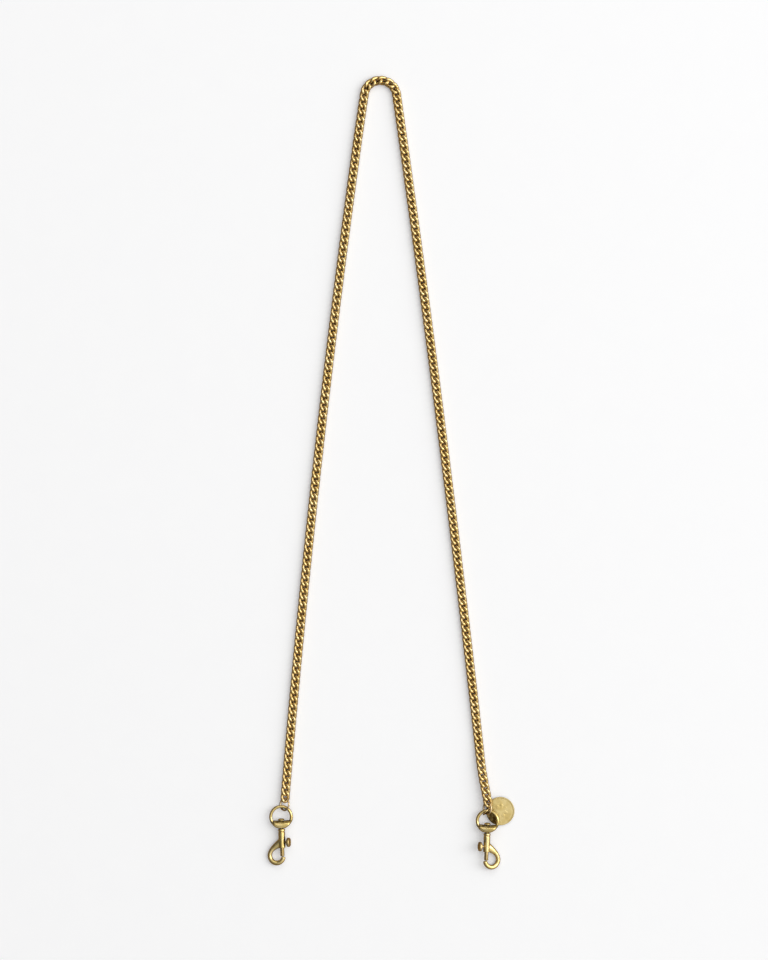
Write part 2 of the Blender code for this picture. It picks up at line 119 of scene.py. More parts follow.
# Hook body, in the same frame: stud, collar, barrel and hook.
STUD_RADIUS = 1.25 * MM
STUD_HEAD_RADIUS = 2.5 * MM
STUD_HEAD_HEIGHT = 1.5 * MM
STUD_PLAY = 0.5 * MM
SWIVEL_GAP = 0.3 * MM
COLLAR_RADIUS = 2.6 * MM
COLLAR_LENGTH = 1.5 * MM
BARREL_RADIUS = 2.45 * MM
BARREL_END = 22.8 * MM
BORE_RADIUS = 1.8 * MM
BORE_TOP = 11.9 * MM
JAW_CENTRE = Vector((-4.3 * MM, -28.5 * MM, 0.0))
JAW_HALF_WIDTH = 5.2 * MM
JAW_HALF_LENGTH = 5.5 * MM
HOOK_RADIUS = 1.62 * MM
HOOK_SWELL = 0.15 * MM
HOOK_START = math.radians(153.0)
HOOK_TIP = math.radians(350.0)
HOOK_STEPS = 64
HOOK_SIDES = 24
TIP_SHARE = 0.03
TIP_BLUNTNESS = 0.72
SHOULDER_ROOT = Vector((0.2 * MM, -18.6 * MM, 0.0))
SHOULDER_HALF_WIDTH = 3.6 * MM
SHOULDER_HALF_THICKNESS = 1.9 * MM
SHOULDER_LEAD = 4.2 * MM
SHOULDER_STEPS = 20
CAST_VOXEL = 0.16 * MM
CAST_SMOOTHING = 6

# Bolt, its thumb knob and its spring.
PLUNGER_RADIUS = 1.5 * MM
PIN_RADIUS = 0.5 * MM
SHANK_RADIUS = 0.85 * MM
SLIDE_GAP = 0.3 * MM
SLOT_WIDTH = 2.3 * MM
KNOB_RADIUS = 3.45 * MM
KNOB_THICKNESS = 2.0 * MM
KNOB_DOME = 0.15 * MM
KNOB_HUB_RADIUS = 2.3 * MM
KNOB_HUB_HEIGHT = 0.75 * MM
KNURLS = 24
KNURL_DEPTH = 0.02
SPRING_WIRE = 0.3 * MM
SPRING_RADIUS = 1.2 * MM
SPRING_TURNS = 4
SPRING_STEPS = 28
SPRING_SHORTEST = 0.15

# Rings and tag. The painted shadow on the tag is where the eye's window lies over it.
CONNECTOR_WIRE = 1.4 * MM
TAG_RING_WIRE = 0.9 * MM
RING_STATIONS = 96
TAG_RINGS = 84
TAG_STEPS = 180
TAG_HOLE_RADIUS = 1.3 * MM
TAG_EDGE = 0.3 * MM
PETALS = 8
EYE_SHADOW_RADIUS = 6.8 * MM
EYE_SHADOW_FADE = 1.4 * MM

# Camera, straight above, and the floor and sky it is lit by.
CAMERA_HEIGHT = 2.2
FIELD_HEIGHT = 0.7085
CAMERA_CENTRE = Vector((-0.0053, -0.0053))
FLOOR_SIZE = 24.0
FLOOR_GAP = 0.35 * MM
FLOOR_GLOW = 0.33
SKY_TILT = (0.62, 0.08, 0.56)
SKY_LOW = 0.10
SKY_HIGH = 1.25

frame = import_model()
cad_low, cad_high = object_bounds()
JOINTS = {joint["name"]: joint for joint in frame["joints"]}
MOUNTS = {mount["name"]: mount for mount in frame["record"]["mounts"]}
rng = random.Random(7)


# Reading the frame.


def node_points(node):
    """The vertices of a CAD node, one row each."""
    vertices = frame["nodes"][node].data.vertices
    points = np.empty(len(vertices) * 3)
    vertices.foreach_get("co", points)
    return points.reshape(-1, 3)


def joint_point(name):
    return Vector(JOINTS[name]["pos_m"])


def joint_axis(name):
    return Vector(JOINTS[name]["axis"]).normalized()


def axes_frame(origin, x_axis, y_axis, z_axis):
    place = Matrix((x_axis, y_axis, z_axis)).transposed().to_4x4()
    place.translation = origin
    return place


def flat_node(node):
    """(centre, normal) of a node that is a flat ring or disc, its normal pointing up."""
    points = node_points(node)
    centre = (points.min(0) + points.max(0)) / 2.0
    normal = np.linalg.svd(points - centre)[2][2]
    if normal[2] < 0.0:
        normal = -normal
    return Vector(centre), Vector(normal)


def swivel_frame(side):
    """The frame of a hook body: Y along the swivel towards the eye, X away from the jaw."""
    axis = joint_axis(f"a_{side}_swivel")
    point = joint_point(f"a_{side}_swivel")
    seat = Vector(MOUNTS[f"{side}_jaw_seat"]["pos_m"])
    across = point - seat
    across = (across - axis * across.dot(axis)).normalized()
    along = (eye_frame(side).translation - point).dot(axis)
    return axes_frame(point + axis * along, across, axis, across.cross(axis))


def eye_frame(side):
    """The frame of a swivel eye: origin at its centre, Z square to its ring."""
    axis = joint_axis(f"a_{side}_swivel")
    normal = joint_axis(f"end_{side}_eye_hinge")
    top = joint_point(f"end_{side}_eye_hinge")
    return axes_frame(top - axis * EYE_RADIUS, axis.cross(normal), axis, normal)


def heights_along(node, place):
    """How far each vertex of a CAD node lies along the Y axis of the frame given."""
    return (node_points(node) - np.array(place.translation)) @ np.array(place.col[1].to_3d())


def knob_frame(side):
    """The frame of a thumb knob: origin on the swivel axis, Y out along the shank."""
    swivel = swivel_frame(side)
    axis = swivel.col[1].to_3d()
    centre = Vector(node_points(f"{side}_thumb_knob").mean(0))
    origin = swivel.translation + axis * (centre - swivel.translation).dot(axis)
    out = (centre - origin).normalized()
    return axes_frame(origin, out.cross(axis), out, axis)


# Meshes.


def make_mesh(name, points, faces, attributes=None):
    points = np.asarray(points, float)
    mesh = bpy.data.meshes.new(name)
    mesh.from_pydata([tuple(p) for p in points], [], faces)
    mesh.update()
    mesh.shade_smooth()
    for label, values in (attributes or {}).items():
        add_values(mesh, label, values)
    return mesh


def add_values(mesh, label, values):
    """Stores one number per vertex for the materials to read."""
    layer = mesh.attributes.new(label, "FLOAT", "POINT")
    layer.data.foreach_set("value", np.asarray(values, np.float32))


def add_piece(name, mesh, material, body, nodes, place=None):
    """A piece that rides on a CAD body and stands for the CAD nodes given."""
    piece = bpy.data.objects.new(name, mesh)
    bpy.context.scene.collection.objects.link(piece)
    if place is not None:
        piece.matrix_world = place
    mesh.materials.clear()
    mesh.materials.append(material)
    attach(piece, body)
    if nodes:
        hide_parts(*nodes)
    return piece


def grid_faces(rings, sides, closed, offset=0):
    faces = []
    for k in range(rings if closed else rings - 1):
        after = (k + 1) % rings
        for j in range(sides):
            beside = (j + 1) % sides
            faces.append((
                offset + k * sides + j,
                offset + k * sides + beside,
                offset + after * sides + beside,
                offset + after * sides + j,
            ))
    return faces


def tube(spine, ups, sizes, sides, closed, power=2.0):
    """Points and faces of an oval swept along spine. sizes holds (half width, half thickness)."""
    spine = np.asarray(spine, float)
    ups = np.asarray(ups, float)
    sizes = np.asarray(sizes, float)
    if closed:
        along = np.roll(spine, -1, axis=0) - np.roll(spine, 1, axis=0)
    else:
        along = np.gradient(spine, axis=0)
    along /= np.linalg.norm(along, axis=1)[:, None]
    side = np.cross(along, ups)
    side /= np.linalg.norm(side, axis=1)[:, None]
    up = np.cross(side, along)
    angle = 2.0 * np.pi * np.arange(sides) / sides
    powers = np.broadcast_to(np.asarray(power, float), len(spine))[:, None]
    c = np.sign(np.cos(angle)) * np.abs(np.cos(angle)) ** (2.0 / powers)
    s = np.sign(np.sin(angle)) * np.abs(np.sin(angle)) ** (2.0 / powers)
    points = spine[:, None, :] + side[:, None, :] * (sizes[:, :1] * c)[:, :, None]
    points = points + up[:, None, :] * (sizes[:, 1:] * s)[:, :, None]
    faces = grid_faces(len(spine), sides, closed)
    if not closed:
        faces.append(tuple(range(sides)))
        last = (len(spine) - 1) * sides
        faces.append(tuple(reversed(range(last, last + sides))))
    return points.reshape(-1, 3), outward_faces(points.reshape(-1, 3), faces)


def outward_faces(points, faces):
    """The faces, turned round together if they point inwards."""
    volume = 0.0
    for face in faces:
        for j in range(1, len(face) - 1):
            a, b, c = points[face[0]], points[face[j]], points[face[j + 1]]
            volume += float(np.dot(a, np.cross(b, c)))
    if volume < 0.0:
        return [tuple(reversed(face)) for face in faces]
    return faces


def turned(profile, steps):
    """Points and faces of a list of (radius, height) turned about Y. Its ends lie on the axis."""
    points = [(0.0, profile[0][1], 0.0)]
    for radius, height in profile[1:-1]:
        for k in range(steps):
            angle = 2.0 * math.pi * k / steps
            points.append((radius * math.cos(angle), height, radius * math.sin(angle)))
    points.append((0.0, profile[-1][1], 0.0))
    faces = grid_faces(len(profile) - 2, steps, False, 1)
    last = len(points) - 1
    for k in range(steps):
        after = (k + 1) % steps
        faces.append((0, 1 + after, 1 + k))
        faces.append((last, last - steps + k, last - steps + after))
    points = np.array(points)
    return points, outward_faces(points, faces)


def rounded(profile, radius, steps=3):
    """A profile whose inner corners are rounded off by short arcs."""
    result = [profile[0]]
    for before, corner, after in zip(profile, profile[1:], profile[2:]):
        here = Vector(corner)
        back = Vector(before) - here
        ahead = Vector(after) - here
        reach = min(radius, back.length * 0.45, ahead.length * 0.45)
        start = here + back.normalized() * reach
        end = here + ahead.normalized() * reach
        for k in range(steps + 1):
            t = k / steps
            point = start * (1 - t) ** 2 + here * 2 * t * (1 - t) + end * t * t
            result.append((point.x, point.y))
    result.append(profile[-1])
    return result


def helper(name, shape):
    """A bare object from (points, faces), for a Boolean."""
    thing = bpy.data.objects.new(name, make_mesh(name, *shape))
    bpy.context.scene.collection.objects.link(thing)
    return thing


def baked(thing):
    """The object's mesh with its modifiers applied, as a new mesh."""
    bpy.context.view_layer.update()
    graph = bpy.context.evaluated_depsgraph_get()
    mesh = bpy.data.meshes.new_from_object(thing.evaluated_get(graph))
    thing.modifiers.clear()
    return mesh


def combined(base, steps):
    """Applies (operation, object) Booleans to base in turn and removes the objects."""
    for operation, other in steps:
        modifier = base.modifiers.new(operation, "BOOLEAN")
        modifier.operation = operation
        modifier.solver = "EXACT"
        modifier.object = other
        base.data = baked(base)
        bpy.data.objects.remove(other)
    return base


def cast(base, voxel, smoothing):
    """Fuses base's shells into one smooth skin, as a casting, and removes the object."""
    remesh = base.modifiers.new("remesh", "REMESH")
    remesh.mode = "VOXEL"
    remesh.voxel_size = voxel
    smooth = base.modifiers.new("smooth", "SMOOTH")
    smooth.iterations = smoothing
    smooth.factor = 0.5
    mesh = baked(base)
    bpy.data.objects.remove(base)
    mesh.shade_smooth()
    return mesh


# Materials.


class Nodes:
    """A material's node tree, built up a call at a time."""

    def __init__(self, name):
        self.material = bpy.data.materials.new(name)
        self.material.use_nodes = True
        self.tree = self.material.node_tree
        self.shader = self.tree.nodes["Principled BSDF"]
        self.place = self.add("ShaderNodeTexCoord").outputs["Object"]

    def add(self, kind, **settings):
        node = self.tree.nodes.new(kind)
        for key, value in settings.items():
            setattr(node, key, value)
        return node

    def plug(self, socket, value):
        if isinstance(value, bpy.types.NodeSocket):
            self.tree.links.new(value, socket)
        else:
            socket.default_value = value

    def noise(self, scale, detail=3.0, stretch=None, roughness=0.55):
        """Noise with features about 1/scale metres across."""
        place = self.place
        if stretch:
            mapping = self.add("ShaderNodeMapping")
            self.plug(mapping.inputs["Vector"], place)
            mapping.inputs["Scale"].default_value = stretch
            place = mapping.outputs["Vector"]
        node = self.add("ShaderNodeTexNoise")
        self.plug(node.inputs["Vector"], place)
        node.inputs["Scale"].default_value = scale
        node.inputs["Detail"].default_value = detail
        node.inputs["Roughness"].default_value = roughness
        return node.outputs["Fac"]

    def span(self, value, low, high, to_low=0.0, to_high=1.0):
        node = self.add("ShaderNodeMapRange", interpolation_type="SMOOTHSTEP")
        self.plug(node.inputs["Value"], value)
        node.inputs["From Min"].default_value = low
        node.inputs["From Max"].default_value = high
        node.inputs["To Min"].default_value = to_low
        node.inputs["To Max"].default_value = to_high
        return node.outputs["Result"]

    def sums(self, operation, first, second):
        node = self.add("ShaderNodeMath", operation=operation)
        self.plug(node.inputs[0], first)
        self.plug(node.inputs[1], second)
        return node.outputs[0]

    def blend(self, factor, first, second):
        node = self.add("ShaderNodeMix", data_type="RGBA")
        self.plug(node.inputs["Factor"], factor)
        self.plug(node.inputs["A"], first)
        self.plug(node.inputs["B"], second)
        return node.outputs["Result"]

    def value_of(self, label):
        return self.add("ShaderNodeAttribute", attribute_name=label).outputs["Fac"]

    def hollows(self, distance):
        """0 in the open to 1 deep in a gap."""
        node = self.add("ShaderNodeAmbientOcclusion", samples=6)
        node.inputs["Distance"].default_value = distance
        return self.sums("SUBTRACT", 1.0, node.outputs["AO"])

    def bump(self, height, distance, normal=None):
        node = self.add("ShaderNodeBump")
        node.inputs["Distance"].default_value = distance
        self.plug(node.inputs["Height"], height)
        if normal is not None:
            self.plug(node.inputs["Normal"], normal)
        return node.outputs["Normal"]

    def finish(self, colour, roughness, normal, metallic=1.0):
        self.plug(self.shader.inputs["Base Color"], colour)
        self.plug(self.shader.inputs["Roughness"], roughness)
        self.plug(self.shader.inputs["Metallic"], metallic)
        self.plug(self.shader.inputs["Normal"], normal)
        return self.material


def tarnished_shaded_metal(name, bright, worn, dark, shine, gap, tarnish, tone=None, painted_shade=None):
    """Polished metal with tarnish and painted shade in its hollows, tarnish in soft blotches, fine
    scratches and dents.

    shine is its clean roughness, gap how wide a gap still darkens and tarnish how dark its blotches
    are. tone and the last argument name attributes: one shifts a link's colour, the other adds mottled
    painted shade.
    """
    nodes = Nodes(name)
    # Hollows and edges darken: partly real tarnish, partly painted shade where shade falls at gaps and
    # silhouettes.
    hollows = nodes.span(nodes.hollows(gap), 0.22, 0.68)
    blotches = nodes.span(nodes.noise(420.0, 4.0), 0.48, 0.78, 0.0, tarnish)
    specks = nodes.span(nodes.noise(3200.0, 2.0), 0.62, 0.75, 0.0, 0.35)
    tarnish_and_shade = nodes.sums("MAXIMUM", hollows, nodes.sums("ADD", blotches, specks))
    if painted_shade:
        # Mottled painted shade, where the named attribute marks it.
        mottle = nodes.span(nodes.noise(500.0, 4.0), 0.30, 0.62, 0.55, 1.0)
        tarnish_and_shade = nodes.sums("MAXIMUM", tarnish_and_shade, nodes.sums("MULTIPLY", nodes.value_of(painted_shade), mottle))
    tarnish_and_shade = nodes.span(tarnish_and_shade, 0.0, 1.0)
    surface = nodes.blend(nodes.span(nodes.noise(160.0, 2.0), 0.35, 0.65), bright, worn)
    if tone:
        surface = nodes.blend(nodes.span(nodes.value_of(tone), 0.0, 1.0, 0.0, 0.45), surface, worn)
    colour = nodes.blend(tarnish_and_shade, surface, dark)
    scratches = nodes.noise(900.0, 2.0, (1.0, 9.0, 1.0), 0.7)
    rough = nodes.span(tarnish_and_shade, 0.0, 1.0, shine, shine + 0.34)
    rough = nodes.sums("ADD", rough, nodes.span(scratches, 0.4, 0.7, -0.04, 0.08))
    dents = nodes.bump(nodes.noise(700.0, 3.0), 0.05 * MM)
    normal = nodes.bump(scratches, 0.012 * MM, dents)
    return nodes.finish(colour, rough, normal)


CHAIN_BRASS = tarnished_shaded_metal(
    "chain_brass", (0.98, 0.76, 0.38, 1.0), (0.86, 0.61, 0.24, 1.0), (0.120, 0.060, 0.008, 1.0),
    0.20, 2.4 * MM, 0.30, "tone",
)
CAST_BRASS = tarnished_shaded_metal(
    "cast_brass", (0.96, 0.76, 0.36, 1.0), (0.80, 0.60, 0.22, 1.0), (0.110, 0.060, 0.008, 1.0),
    0.22, 4.0 * MM, 0.25, painted_shade="painted_shade",
)
RING_BRASS = tarnished_shaded_metal(
    "ring_brass", (0.96, 0.78, 0.50, 1.0), (0.86, 0.62, 0.34, 1.0), (0.14, 0.075, 0.02, 1.0),
    0.24, 1.6 * MM, 0.20,
)
KNOB_BRASS = tarnished_shaded_metal(
    "knob_brass", (0.80, 0.62, 0.31, 1.0), (0.60, 0.43, 0.17, 1.0), (0.08, 0.045, 0.010, 1.0),
    0.26, 3.0 * MM, 0.40,
)
PLUNGER_BRASS = tarnished_shaded_metal(
    "plunger_brass", (0.72, 0.54, 0.26, 1.0), (0.50, 0.35, 0.13, 1.0), (0.07, 0.038, 0.008, 1.0),
    0.24, 3.0 * MM, 0.35,
)
TAG_BRASS = tarnished_shaded_metal(
    "tag_brass", (0.72, 0.58, 0.27, 1.0), (0.62, 0.47, 0.18, 1.0), (0.11, 0.06, 0.012, 1.0),
    0.44, 6.0 * MM, 0.28, painted_shade="painted_shade",
)
SPRING_STEEL = tarnished_shaded_metal(
    "spring_steel", (0.55, 0.54, 0.52, 1.0), (0.42, 0.40, 0.37, 1.0), (0.12, 0.09, 0.06, 1.0),
    0.28, 0.6 * MM, 0.30,
)


# Chain. Link numbers run outwards from 0 at the top of the fold, negative down the left leg.


def circle_through(a, b, c):
    """Centre of the level circle through three points."""
    ab, ac = (b - a).to_2d(), (c - a).to_2d()
    cross = 2.0 * (ab.x * ac.y - ab.y * ac.x)
    x = (ac.y * ab.length_squared - ab.y * ac.length_squared) / cross
    y = (ab.x * ac.length_squared - ac.x * ab.length_squared) / cross
    return Vector((a.x + x, a.y + y, a.z))


FOLD_A = CROWN_LINKS / 2.0
FOLD_B = FOLD_A + SHOULDER_LINKS
CENTRE = circle_through(
    joint_point("left_fold_hinge_b"), joint_point("left_fold_hinge_a"), joint_point("right_fold_hinge_a")
)


def fold_angle(point):
    return math.atan2(point.y - CENTRE.y, point.x - CENTRE.x)


def fold_point(number):
    """A point on the round of the fold."""
    left = joint_point("left_fold_hinge_a")
    right = fold_angle(joint_point("right_fold_hinge_a"))
    share = (number + FOLD_A) / (2.0 * FOLD_A)
    angle = fold_angle(left) + share * (right - fold_angle(left))
    radius = (left - CENTRE).to_2d().length
    return CENTRE + Vector((radius * math.cos(angle), radius * math.sin(angle), 0.0))


def leg_knots(side):
    """(link number, point) at each joint down a leg, with both neighbours of its first stretch."""
    sign = -1.0 if side == "left" else 1.0
    knots = [(FOLD_B - 1.0, fold_point(sign * (FOLD_B - 1.0)))]
    knots.append((FOLD_B, joint_point(f"{side}_fold_hinge_b")))
    number = FOLD_B
    count = sum(name.startswith(f"{side}_run_") for name in frame["bodies"])
    for k in range(2, count + 1):
        number += RUN_LINKS
        knots.append((number, joint_point(f"{side}_hinge_{k:02d}")))
    pitch = (knots[-1][1] - knots[-2][1]).length / RUN_LINKS
    last = number + RUN_LINKS - 0.5 + LAST_LINK_REACH / pitch
    knots.append((last, joint_point(f"end_{side}_ring_hinge")))
    return knots


KNOTS = {side: leg_knots(side) for side in SIDES}


def leg_point(side, number):
    """A point on a leg, from a smooth curve through its joints."""
    knots = KNOTS[side]
    k = 1
    while k < len(knots) - 2 and number > knots[k + 1][0]:
        k += 1
    (n0, p0), (n1, p1), (n2, p2) = knots[k - 1], knots[k], knots[k + 1]
    start = (p2 - p0) / (n2 - n0) if k > 1 else (p2 - p1) / (n2 - n1)
    if k + 2 < len(knots):
        n3, p3 = knots[k + 2]
        end = (p3 - p1) / (n3 - n1)
    else:
        end = (p2 - p1) / (n2 - n1)
    span = n2 - n1
    t = (number - n1) / span
    return (
        p1 * (2 * t**3 - 3 * t**2 + 1)
        + start * (span * (t**3 - 2 * t**2 + t))
        + p2 * (3 * t**2 - 2 * t**3)
        + end * (span * (t**3 - t**2))
    )


def chain_point(number):
    if abs(number) <= FOLD_B:
        return fold_point(number)
    return leg_point("left" if number < 0 else "right", abs(number))


def link_frame(number):
    """A link's frame: X away from the fold, Z up, with a little looseness in its roll and heading."""
    side = -1.0 if number < 0 else 1.0
    step = 0.25
    along = (chain_point(number + side * step) - chain_point(number - side * step)).normalized()
    across = Vector((0.0, 0.0, 1.0)).cross(along).normalized()
    place = axes_frame(chain_point(number), along, across, along.cross(across))
    roll = Matrix.Rotation(math.radians(rng.uniform(-LINK_ROLL_PLAY, LINK_ROLL_PLAY)), 4, "X")
    turn = Matrix.Rotation(math.radians(rng.uniform(-LINK_TURN_PLAY, LINK_TURN_PLAY)), 4, "Z")
    return place @ turn @ roll


def link_outline(stations):
    """(along, across) of the link's centreline, an oval of two straights and two half circles."""
    half_length = (LINK_LENGTH - LINK_WIRE) / 2.0
    half_width = (LINK_WIDTH - LINK_WIRE) / 2.0
    straight = half_length - half_width
    around = math.pi * half_width
    total = 4.0 * straight + 2.0 * around
    outline = []
    for k in range(stations):
        run = total * k / stations
        if run < 2.0 * straight:
            outline.append((run - straight, half_width))
        elif run < 2.0 * straight + around:
            t = (run - 2.0 * straight) / half_width
            outline.append((straight + half_width * math.sin(t), half_width * math.cos(t)))
        elif run < 4.0 * straight + around:
            outline.append((3.0 * straight + around - run, -half_width))
        else:
            t = (run - 4.0 * straight - around) / half_width
            outline.append((-straight - half_width * math.sin(t), -half_width * math.cos(t)))
    return outline


def link_shape():
    """Points and faces of one twisted link, with a shallow closing seam in one straight."""
    half_length = (LINK_LENGTH - LINK_WIRE) / 2.0
    spine = []
    ups = []
    sizes = []
    for k, (along, across) in enumerate(link_outline(LINK_STATIONS)):
        twist = LINK_TWIST * along / half_length
        spine.append((along, across * math.cos(twist), across * math.sin(twist)))
        ups.append((0.0, -math.sin(twist), math.cos(twist)))
        radius = LINK_WIRE / 2.0 * (1.0 - (SEAM_DEPTH if k == SEAM_STATION else 0.0))
        sizes.append((radius, radius))
    return tube(spine, ups, sizes, LINK_SIDES, True)


LINK_POINTS, LINK_FACES = link_shape()


def run_mesh(name, numbers):
    """The links of one run as one mesh of separate closed shells."""
    points = []
    faces = []
    tones = []
    for number in numbers:
        place = np.array(link_frame(number))
        offset = len(points) * len(LINK_POINTS)
        points.append(LINK_POINTS @ place[:3, :3].T + place[:3, 3])
        faces.extend(tuple(offset + j for j in face) for face in LINK_FACES)
        tones.append(np.full(len(LINK_POINTS), rng.random()))
    return make_mesh(name, np.concatenate(points), faces, {"tone": np.concatenate(tones)})


def make_run(body, node, numbers):
    add_piece(node + "_links", run_mesh(node, numbers), CHAIN_BRASS, body, [node])


def make_chain():
    half = CROWN_LINKS // 2
    make_run("crown", "crown_run", range(-half, half + 1))
    for side in SIDES:
        sign = -1 if side == "left" else 1
        first = half + 1
        numbers = [sign * (first + k) for k in range(SHOULDER_LINKS)]
        make_run(f"{side}_shoulder", f"{side}_shoulder_run", numbers)
        first += SHOULDER_LINKS
        for k in range(1, len(KNOTS[side]) - 1):
            numbers = [sign * (first + j) for j in range(RUN_LINKS)]
            make_run(f"{side}_run_{k:02d}", f"{side}_run_{k:02d}", numbers)
            first += RUN_LINKS


# Snaps.


def smooth_step(value):
    value = min(max(value, 0.0), 1.0)
    return value * value * (3.0 - 2.0 * value)


def eye_shape():
    """A round wire ring whose lower part fills up to a flat floor and swells into the swivel's base."""
    wire = EYE_WIRE / 2.0
    spine = []
    sizes = []
    powers = []
    for k in range(EYE_STATIONS):
        angle = 2.0 * math.pi * (k + 0.5) / EYE_STATIONS
        direction = Vector((math.cos(angle), math.sin(angle), 0.0))
        inner = EYE_RADIUS - wire
        if direction.y < 0.0:
            inner = min(inner, EYE_FLOOR / -direction.y)
        depth = (EYE_OUTER - inner) / 2.0
        share = smooth_step((depth - wire) / wire)
        spine.append(direction * (EYE_OUTER - depth))
        sizes.append((depth, wire + share * (EYE_BASE_THICKNESS - EYE_WIRE) / 2.0))
        powers.append(2.0 + 0.9 * share)
    ups = [(0.0, 0.0, 1.0)] * EYE_STATIONS
    points, faces = tube(spine, ups, sizes, EYE_SIDES, True, np.array(powers))
    mould_base(points)
    return points, faces


def mould_base(points):
    """Lowers the eye's base to a ledge along its floor and runs a groove round below it."""
    x, y, z = points.T
    proud = np.abs(z) - LEDGE_THICKNESS / 2.0
    ledge = np.clip((y + LEDGE_EDGE) / LEDGE_FADE, 0.0, 1.0) * (y < 0.0)
    lowered = np.clip(proud, 0.0, None) * ledge * ledge * (3.0 - 2.0 * ledge)
    off_line = np.abs(np.hypot(x, y) - (EYE_OUTER - GROOVE_INSET))
    groove = np.clip(1.0 - off_line / GROOVE_HALF_WIDTH, 0.0, 1.0) * np.clip(proud / GROOVE_FADE, 0.0, 1.0)
    points[:, 2] -= np.sign(z) * (lowered + groove * GROOVE_DEPTH)


def ledge_shade(mesh):
    """1 on the eye's ledge round the stud, where shade is painted in, down to 0 off it."""
    heights = np.array([vertex.co.y for vertex in mesh.vertices])
    painted_shade = np.clip((heights + LEDGE_EDGE - 0.1 * MM) / LEDGE_FADE, 0.0, 1.0)
    return painted_shade * np.clip((-EYE_FLOOR + 0.9 * MM - heights) / (0.6 * MM), 0.0, 1.0)


def make_eye(side):
    low, high = -EYE_OUTER - MM, -EYE_FLOOR + MM
    bore = turned([(0.0, low), (STUD_BORE, low), (STUD_BORE, high), (0.0, high)], 40)
    base = helper("eye", eye_shape())
    combined(base, [("DIFFERENCE", helper("bore", bore))])
    mesh = base.data
    bpy.data.objects.remove(base)
    mesh.shade_smooth()
    mesh.set_sharp_from_angle(angle=math.radians(40.0))
    # Painted shade on the eye's ledge round the stud.
    add_values(mesh, "painted_shade", 0.8 * ledge_shade(mesh))
    name = f"{side}_swivel_eye"
    add_piece(name + "_ring", mesh, CAST_BRASS, f"{side}_eye", [name], eye_frame(side))


def stud_profile():
    """Half the outline of the peened head, stud, collar and barrel, from the top down."""
    head_low = -EYE_FLOOR + STUD_PLAY
    collar_top = -EYE_OUTER - SWIVEL_GAP
    collar_low = collar_top - COLLAR_LENGTH
    neck_radius = BARREL_RADIUS * 0.85
    profile = [
        (0.0, head_low + STUD_HEAD_HEIGHT),
        (STUD_HEAD_RADIUS * 0.7, head_low + STUD_HEAD_HEIGHT * 0.85),
        (STUD_HEAD_RADIUS, head_low + STUD_HEAD_HEIGHT * 0.3),
        (STUD_HEAD_RADIUS, head_low),
        (STUD_RADIUS, head_low),
        (STUD_RADIUS, collar_top),
        (COLLAR_RADIUS, collar_top),
        (COLLAR_RADIUS, collar_low),
        (neck_radius, collar_low - 0.2 * MM),
        (neck_radius, collar_low - 0.5 * MM),
        (BARREL_RADIUS, collar_low - 0.9 * MM),
        (BARREL_RADIUS, -BARREL_END),
        (0.0, -BARREL_END),
    ]
    return rounded(profile, 0.25 * MM)


def jaw_point(angle):
    offset = Vector((JAW_HALF_WIDTH * math.cos(angle), JAW_HALF_LENGTH * math.sin(angle), 0.0))
    return JAW_CENTRE + offset


def hook_shape():
    """The hook: a wide web that leaves the barrel, then a round arc about the jaw with a blunt tip."""
    join = jaw_point(HOOK_START)
    corner = join + (join - jaw_point(HOOK_START + 0.01)).normalized() * SHOULDER_LEAD
    spine = []
    sizes = []
    for k in range(SHOULDER_STEPS):
        t = k / SHOULDER_STEPS
        spine.append(SHOULDER_ROOT * (1 - t) ** 2 + corner * 2 * t * (1 - t) + join * t * t)
        width = HOOK_RADIUS + (SHOULDER_HALF_WIDTH - HOOK_RADIUS) * (1 - t) ** 2
        sizes.append((width, HOOK_RADIUS + (SHOULDER_HALF_THICKNESS - HOOK_RADIUS) * (1 - t)))
    for k in range(HOOK_STEPS):
        share = k / (HOOK_STEPS - 1)
        swell = HOOK_SWELL * math.sin(math.pi * share) ** 2
        near_tip = max(0.0, (share - 1.0 + TIP_SHARE) / TIP_SHARE)
        rounding = math.sqrt(max(0.0, 1.0 - near_tip**2))
        radius = (HOOK_RADIUS + swell) * max(TIP_BLUNTNESS, rounding)
        spine.append(jaw_point(HOOK_START + share * (HOOK_TIP - HOOK_START)))
        sizes.append((radius, radius))
    return tube(spine, [(0.0, 0.0, 1.0)] * len(spine), sizes, HOOK_SIDES, False)


def box_shape(low, high, turn):
    """Points and faces of the box between two corners, turned by the matrix given."""
    corners = []
    for x in (low[0], high[0]):
        for y in (low[1], high[1]):
            for z in (low[2], high[2]):
                corners.append(turn @ Vector((x, y, z)))
    faces = [(0, 1, 3, 2), (4, 6, 7, 5), (0, 4, 5, 1), (2, 3, 7, 6), (0, 2, 6, 4), (1, 5, 7, 3)]
    points = np.array([tuple(c) for c in corners])
    return points, outward_faces(points, faces)


def slot_shape(side, swivel):
    """The slot in the barrel that the knob's shank slides in."""
    knob = swivel.inverted() @ knob_frame(side)
    out = knob.col[1].to_3d()
    turn = Matrix.Rotation(-math.atan2(out.z, out.x), 4, "Y")
    travel = JOINTS[f"a_{side}_bolt_slide"]["range_m"][1]
    clearance = SHANK_RADIUS + SLIDE_GAP
    low = (0.0, knob.translation.y - clearance, -SLOT_WIDTH / 2.0)
    high = (2.0 * BARREL_RADIUS, knob.translation.y + travel + clearance, SLOT_WIDTH / 2.0)
    return box_shape(low, high, turn)


